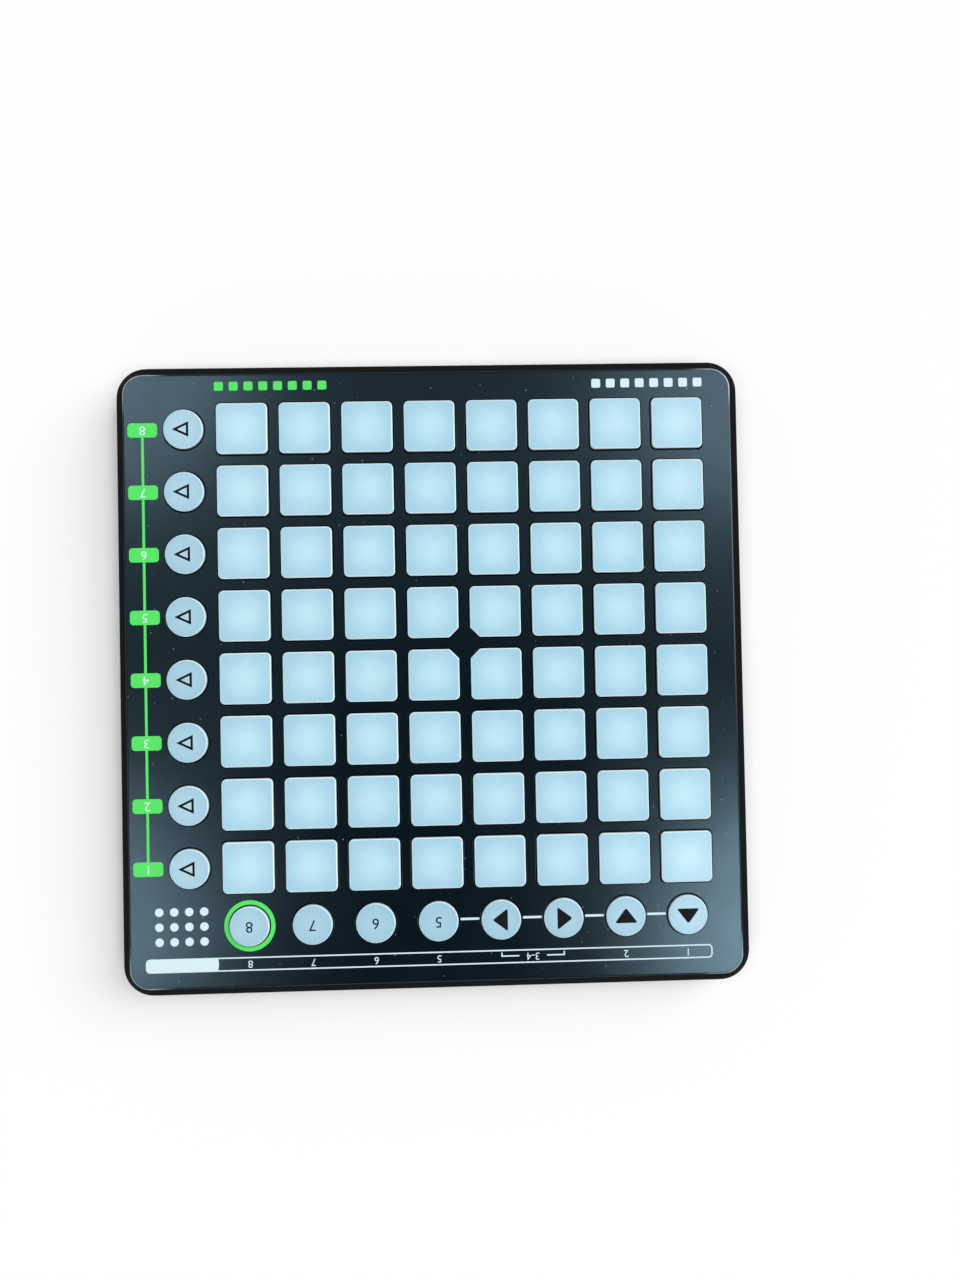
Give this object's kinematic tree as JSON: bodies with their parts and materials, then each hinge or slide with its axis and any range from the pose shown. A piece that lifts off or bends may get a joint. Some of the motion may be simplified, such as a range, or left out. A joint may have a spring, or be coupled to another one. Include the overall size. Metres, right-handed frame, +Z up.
{
  "type": "midi pad controller",
  "caption": "Flat square music controller: a grid of sprung silicone pads and round buttons in a black case with a sloping rim, socket at the rear.",
  "frame": {"origin": "under the middle of the case, on the surface that the feet stand on", "axes": "+X to the user's right, +Y to the rear edge with the socket, +Z up through the pads"},
  "size_m": [0.24, 0.24, 0.02],
  "materials": {
    "case": "satin",
    "key": "frosted silicone",
    "mat": "clear silicone",
    "board": "solder mask",
    "chip": "moulded",
    "metal": "plated",
    "foot": "matte"
  },
  "bodies": {
    "case": {"top_cover": "case", "bottom_cover": "case", "key_mat": "mat", "circuit_board": "board", "microcontroller": "chip", "usb_socket": "metal", "front_foot": "foot", "rear_foot": "foot", "case_screw_1": "metal", "case_screw_2": "metal", "case_screw_3": "metal", "case_screw_4": "metal"},
    "pads_r1_c1_2": {"pads_r1_c1_2": "key"},
    "pads_r1_c3_4": {"pads_r1_c3_4": "key"},
    "pads_r1_c5_6": {"pads_r1_c5_6": "key"},
    "pads_r1_c7_8": {"pads_r1_c7_8": "key"},
    "pads_r2_c1_2": {"pads_r2_c1_2": "key"},
    "pads_r2_c3_4": {"pads_r2_c3_4": "key"},
    "pads_r2_c5_6": {"pads_r2_c5_6": "key"},
    "pads_r2_c7_8": {"pads_r2_c7_8": "key"},
    "pads_r3_c1_2": {"pads_r3_c1_2": "key"},
    "pads_r3_c3_4": {"pads_r3_c3_4": "key"},
    "pads_r3_c5_6": {"pads_r3_c5_6": "key"},
    "pads_r3_c7_8": {"pads_r3_c7_8": "key"},
    "pads_r4_c1_2": {"pads_r4_c1_2": "key"},
    "pads_r4_c3_4": {"pads_r4_c3_4": "key"},
    "pads_r4_c5_6": {"pads_r4_c5_6": "key"},
    "pads_r4_c7_8": {"pads_r4_c7_8": "key"},
    "pads_r5_c1_2": {"pads_r5_c1_2": "key"},
    "pads_r5_c3_4": {"pads_r5_c3_4": "key"},
    "pads_r5_c5_6": {"pads_r5_c5_6": "key"},
    "pads_r5_c7_8": {"pads_r5_c7_8": "key"},
    "pads_r6_c1_2": {"pads_r6_c1_2": "key"},
    "pads_r6_c3_4": {"pads_r6_c3_4": "key"},
    "pads_r6_c5_6": {"pads_r6_c5_6": "key"},
    "pads_r6_c7_8": {"pads_r6_c7_8": "key"},
    "pads_r7_c1_2": {"pads_r7_c1_2": "key"},
    "pads_r7_c3_4": {"pads_r7_c3_4": "key"},
    "pads_r7_c5_6": {"pads_r7_c5_6": "key"},
    "pads_r7_c7_8": {"pads_r7_c7_8": "key"},
    "pads_r8_c1_2": {"pads_r8_c1_2": "key"},
    "pads_r8_c3_4": {"pads_r8_c3_4": "key"},
    "pads_r8_c5_6": {"pads_r8_c5_6": "key"},
    "pads_r8_c7_8": {"pads_r8_c7_8": "key"},
    "side_button_1": {"side_button_1": "key"},
    "side_button_2": {"side_button_2": "key"},
    "side_button_3": {"side_button_3": "key"},
    "side_button_4": {"side_button_4": "key"},
    "side_button_5": {"side_button_5": "key"},
    "side_button_6": {"side_button_6": "key"},
    "side_button_7": {"side_button_7": "key"},
    "side_button_8": {"side_button_8": "key"},
    "top_button_1": {"top_button_1": "key"},
    "top_button_2": {"top_button_2": "key"},
    "top_button_3": {"top_button_3": "key"},
    "top_button_4": {"top_button_4": "key"},
    "top_button_5": {"top_button_5": "key"},
    "top_button_6": {"top_button_6": "key"},
    "top_button_7": {"top_button_7": "key"},
    "top_button_8": {"top_button_8": "key"}
  },
  "joints": [
    {"name": "pads_r1_c1_2_press", "type": "slide", "parent": "case", "child": "pads_r1_c1_2", "axis": [0, 0, -1], "range_m": [0, 0.0012], "stiffness_N_per_m": 800, "springref_m": -0.0002},
    {"name": "pads_r1_c3_4_press", "type": "slide", "parent": "case", "child": "pads_r1_c3_4", "axis": [0, 0, -1], "range_m": [0, 0.0012], "stiffness_N_per_m": 800, "springref_m": -0.0002},
    {"name": "pads_r1_c5_6_press", "type": "slide", "parent": "case", "child": "pads_r1_c5_6", "axis": [0, 0, -1], "range_m": [0, 0.0012], "stiffness_N_per_m": 800, "springref_m": -0.0002},
    {"name": "pads_r1_c7_8_press", "type": "slide", "parent": "case", "child": "pads_r1_c7_8", "axis": [0, 0, -1], "range_m": [0, 0.0012], "stiffness_N_per_m": 800, "springref_m": -0.0002},
    {"name": "pads_r2_c1_2_press", "type": "slide", "parent": "case", "child": "pads_r2_c1_2", "axis": [0, 0, -1], "range_m": [0, 0.0012], "stiffness_N_per_m": 800, "springref_m": -0.0002},
    {"name": "pads_r2_c3_4_press", "type": "slide", "parent": "case", "child": "pads_r2_c3_4", "axis": [0, 0, -1], "range_m": [0, 0.0012], "stiffness_N_per_m": 800, "springref_m": -0.0002},
    {"name": "pads_r2_c5_6_press", "type": "slide", "parent": "case", "child": "pads_r2_c5_6", "axis": [0, 0, -1], "range_m": [0, 0.0012], "stiffness_N_per_m": 800, "springref_m": -0.0002},
    {"name": "pads_r2_c7_8_press", "type": "slide", "parent": "case", "child": "pads_r2_c7_8", "axis": [0, 0, -1], "range_m": [0, 0.0012], "stiffness_N_per_m": 800, "springref_m": -0.0002},
    {"name": "pads_r3_c1_2_press", "type": "slide", "parent": "case", "child": "pads_r3_c1_2", "axis": [0, 0, -1], "range_m": [0, 0.0012], "stiffness_N_per_m": 800, "springref_m": -0.0002},
    {"name": "pads_r3_c3_4_press", "type": "slide", "parent": "case", "child": "pads_r3_c3_4", "axis": [0, 0, -1], "range_m": [0, 0.0012], "stiffness_N_per_m": 800, "springref_m": -0.0002},
    {"name": "pads_r3_c5_6_press", "type": "slide", "parent": "case", "child": "pads_r3_c5_6", "axis": [0, 0, -1], "range_m": [0, 0.0012], "stiffness_N_per_m": 800, "springref_m": -0.0002},
    {"name": "pads_r3_c7_8_press", "type": "slide", "parent": "case", "child": "pads_r3_c7_8", "axis": [0, 0, -1], "range_m": [0, 0.0012], "stiffness_N_per_m": 800, "springref_m": -0.0002},
    {"name": "pads_r4_c1_2_press", "type": "slide", "parent": "case", "child": "pads_r4_c1_2", "axis": [0, 0, -1], "range_m": [0, 0.0012], "stiffness_N_per_m": 800, "springref_m": -0.0002},
    {"name": "pads_r4_c3_4_press", "type": "slide", "parent": "case", "child": "pads_r4_c3_4", "axis": [0, 0, -1], "range_m": [0, 0.0012], "stiffness_N_per_m": 800, "springref_m": -0.0002},
    {"name": "pads_r4_c5_6_press", "type": "slide", "parent": "case", "child": "pads_r4_c5_6", "axis": [0, 0, -1], "range_m": [0, 0.0012], "stiffness_N_per_m": 800, "springref_m": -0.0002},
    {"name": "pads_r4_c7_8_press", "type": "slide", "parent": "case", "child": "pads_r4_c7_8", "axis": [0, 0, -1], "range_m": [0, 0.0012], "stiffness_N_per_m": 800, "springref_m": -0.0002},
    {"name": "pads_r5_c1_2_press", "type": "slide", "parent": "case", "child": "pads_r5_c1_2", "axis": [0, 0, -1], "range_m": [0, 0.0012], "stiffness_N_per_m": 800, "springref_m": -0.0002},
    {"name": "pads_r5_c3_4_press", "type": "slide", "parent": "case", "child": "pads_r5_c3_4", "axis": [0, 0, -1], "range_m": [0, 0.0012], "stiffness_N_per_m": 800, "springref_m": -0.0002},
    {"name": "pads_r5_c5_6_press", "type": "slide", "parent": "case", "child": "pads_r5_c5_6", "axis": [0, 0, -1], "range_m": [0, 0.0012], "stiffness_N_per_m": 800, "springref_m": -0.0002},
    {"name": "pads_r5_c7_8_press", "type": "slide", "parent": "case", "child": "pads_r5_c7_8", "axis": [0, 0, -1], "range_m": [0, 0.0012], "stiffness_N_per_m": 800, "springref_m": -0.0002},
    {"name": "pads_r6_c1_2_press", "type": "slide", "parent": "case", "child": "pads_r6_c1_2", "axis": [0, 0, -1], "range_m": [0, 0.0012], "stiffness_N_per_m": 800, "springref_m": -0.0002},
    {"name": "pads_r6_c3_4_press", "type": "slide", "parent": "case", "child": "pads_r6_c3_4", "axis": [0, 0, -1], "range_m": [0, 0.0012], "stiffness_N_per_m": 800, "springref_m": -0.0002},
    {"name": "pads_r6_c5_6_press", "type": "slide", "parent": "case", "child": "pads_r6_c5_6", "axis": [0, 0, -1], "range_m": [0, 0.0012], "stiffness_N_per_m": 800, "springref_m": -0.0002},
    {"name": "pads_r6_c7_8_press", "type": "slide", "parent": "case", "child": "pads_r6_c7_8", "axis": [0, 0, -1], "range_m": [0, 0.0012], "stiffness_N_per_m": 800, "springref_m": -0.0002},
    {"name": "pads_r7_c1_2_press", "type": "slide", "parent": "case", "child": "pads_r7_c1_2", "axis": [0, 0, -1], "range_m": [0, 0.0012], "stiffness_N_per_m": 800, "springref_m": -0.0002},
    {"name": "pads_r7_c3_4_press", "type": "slide", "parent": "case", "child": "pads_r7_c3_4", "axis": [0, 0, -1], "range_m": [0, 0.0012], "stiffness_N_per_m": 800, "springref_m": -0.0002},
    {"name": "pads_r7_c5_6_press", "type": "slide", "parent": "case", "child": "pads_r7_c5_6", "axis": [0, 0, -1], "range_m": [0, 0.0012], "stiffness_N_per_m": 800, "springref_m": -0.0002},
    {"name": "pads_r7_c7_8_press", "type": "slide", "parent": "case", "child": "pads_r7_c7_8", "axis": [0, 0, -1], "range_m": [0, 0.0012], "stiffness_N_per_m": 800, "springref_m": -0.0002},
    {"name": "pads_r8_c1_2_press", "type": "slide", "parent": "case", "child": "pads_r8_c1_2", "axis": [0, 0, -1], "range_m": [0, 0.0012], "stiffness_N_per_m": 800, "springref_m": -0.0002},
    {"name": "pads_r8_c3_4_press", "type": "slide", "parent": "case", "child": "pads_r8_c3_4", "axis": [0, 0, -1], "range_m": [0, 0.0012], "stiffness_N_per_m": 800, "springref_m": -0.0002},
    {"name": "pads_r8_c5_6_press", "type": "slide", "parent": "case", "child": "pads_r8_c5_6", "axis": [0, 0, -1], "range_m": [0, 0.0012], "stiffness_N_per_m": 800, "springref_m": -0.0002},
    {"name": "pads_r8_c7_8_press", "type": "slide", "parent": "case", "child": "pads_r8_c7_8", "axis": [0, 0, -1], "range_m": [0, 0.0012], "stiffness_N_per_m": 800, "springref_m": -0.0002},
    {"name": "side_button_1_press", "type": "slide", "parent": "case", "child": "side_button_1", "axis": [0, 0, -1], "range_m": [0, 0.0012], "stiffness_N_per_m": 500, "springref_m": -0.0002},
    {"name": "side_button_2_press", "type": "slide", "parent": "case", "child": "side_button_2", "axis": [0, 0, -1], "range_m": [0, 0.0012], "stiffness_N_per_m": 500, "springref_m": -0.0002},
    {"name": "side_button_3_press", "type": "slide", "parent": "case", "child": "side_button_3", "axis": [0, 0, -1], "range_m": [0, 0.0012], "stiffness_N_per_m": 500, "springref_m": -0.0002},
    {"name": "side_button_4_press", "type": "slide", "parent": "case", "child": "side_button_4", "axis": [0, 0, -1], "range_m": [0, 0.0012], "stiffness_N_per_m": 500, "springref_m": -0.0002},
    {"name": "side_button_5_press", "type": "slide", "parent": "case", "child": "side_button_5", "axis": [0, 0, -1], "range_m": [0, 0.0012], "stiffness_N_per_m": 500, "springref_m": -0.0002},
    {"name": "side_button_6_press", "type": "slide", "parent": "case", "child": "side_button_6", "axis": [0, 0, -1], "range_m": [0, 0.0012], "stiffness_N_per_m": 500, "springref_m": -0.0002},
    {"name": "side_button_7_press", "type": "slide", "parent": "case", "child": "side_button_7", "axis": [0, 0, -1], "range_m": [0, 0.0012], "stiffness_N_per_m": 500, "springref_m": -0.0002},
    {"name": "side_button_8_press", "type": "slide", "parent": "case", "child": "side_button_8", "axis": [0, 0, -1], "range_m": [0, 0.0012], "stiffness_N_per_m": 500, "springref_m": -0.0002},
    {"name": "top_button_1_press", "type": "slide", "parent": "case", "child": "top_button_1", "axis": [0, 0, -1], "range_m": [0, 0.0012], "stiffness_N_per_m": 500, "springref_m": -0.0002},
    {"name": "top_button_2_press", "type": "slide", "parent": "case", "child": "top_button_2", "axis": [0, 0, -1], "range_m": [0, 0.0012], "stiffness_N_per_m": 500, "springref_m": -0.0002},
    {"name": "top_button_3_press", "type": "slide", "parent": "case", "child": "top_button_3", "axis": [0, 0, -1], "range_m": [0, 0.0012], "stiffness_N_per_m": 500, "springref_m": -0.0002},
    {"name": "top_button_4_press", "type": "slide", "parent": "case", "child": "top_button_4", "axis": [0, 0, -1], "range_m": [0, 0.0012], "stiffness_N_per_m": 500, "springref_m": -0.0002},
    {"name": "top_button_5_press", "type": "slide", "parent": "case", "child": "top_button_5", "axis": [0, 0, -1], "range_m": [0, 0.0012], "stiffness_N_per_m": 500, "springref_m": -0.0002},
    {"name": "top_button_6_press", "type": "slide", "parent": "case", "child": "top_button_6", "axis": [0, 0, -1], "range_m": [0, 0.0012], "stiffness_N_per_m": 500, "springref_m": -0.0002},
    {"name": "top_button_7_press", "type": "slide", "parent": "case", "child": "top_button_7", "axis": [0, 0, -1], "range_m": [0, 0.0012], "stiffness_N_per_m": 500, "springref_m": -0.0002},
    {"name": "top_button_8_press", "type": "slide", "parent": "case", "child": "top_button_8", "axis": [0, 0, -1], "range_m": [0, 0.0012], "stiffness_N_per_m": 500, "springref_m": -0.0002}
  ]
}
